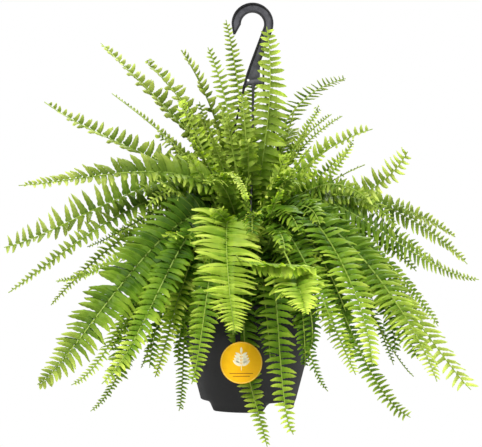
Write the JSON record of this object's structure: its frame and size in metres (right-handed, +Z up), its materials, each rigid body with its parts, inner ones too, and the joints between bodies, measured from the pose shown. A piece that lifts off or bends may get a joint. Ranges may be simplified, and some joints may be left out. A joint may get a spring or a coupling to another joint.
{
  "type": "potted fern",
  "caption": "Boston fern with long arching fronds in a round plastic hanging basket on a swan-neck hook.",
  "frame": {"origin": "the point inside the top of the hook's loop that bears on a ceiling hook", "axes": "+Z up, out of the bearing point; -Y is the side seen from the front, where the care tag hangs; the hook lies in the XZ plane"},
  "size_m": [0.695, 0.61, 0.644],
  "materials": {
    "hanger_plastic": "satin",
    "pot_plastic": "satin",
    "potting_mix": "matte",
    "crown": "matte",
    "care_tag": "satin",
    "frond": "satin"
  },
  "bodies": {
    "root": {"care_tag": "care_tag", "crown": "crown", "frond_back_01": "frond", "frond_back_02": "frond", "frond_back_03": "frond", "frond_back_04": "frond", "frond_back_05": "frond", "frond_back_06": "frond", "frond_back_07": "frond", "frond_back_08": "frond", "frond_back_09": "frond", "frond_back_10": "frond", "frond_front_01": "frond", "frond_front_02": "frond", "frond_front_03": "frond", "frond_front_04": "frond", "frond_left_01": "frond", "frond_left_02": "frond", "frond_left_03": "frond", "frond_left_04": "frond", "frond_left_05": "frond", "frond_left_06": "frond", "frond_left_07": "frond", "frond_left_08": "frond", "frond_left_09": "frond", "frond_left_10": "frond", "frond_left_11": "frond", "frond_left_12": "frond", "frond_left_13": "frond", "frond_left_14": "frond", "frond_left_15": "frond", "frond_left_16": "frond", "frond_left_17": "frond", "frond_left_18": "frond", "frond_right_01": "frond", "frond_right_02": "frond", "frond_right_03": "frond", "frond_right_04": "frond", "frond_right_05": "frond", "frond_right_06": "frond", "frond_right_07": "frond", "frond_right_08": "frond", "frond_right_09": "frond", "frond_right_10": "frond", "frond_right_11": "frond", "frond_right_12": "frond", "frond_right_13": "frond", "frond_right_14": "frond", "frond_right_15": "frond", "frond_right_16": "frond", "hanger_hook": "hanger_plastic", "hanger_leg_back": "hanger_plastic", "hanger_leg_front": "hanger_plastic", "hanger_leg_left": "hanger_plastic", "hanger_leg_right": "hanger_plastic", "pot": "pot_plastic", "potting_mix": "potting_mix"}
  },
  "joints": []
}
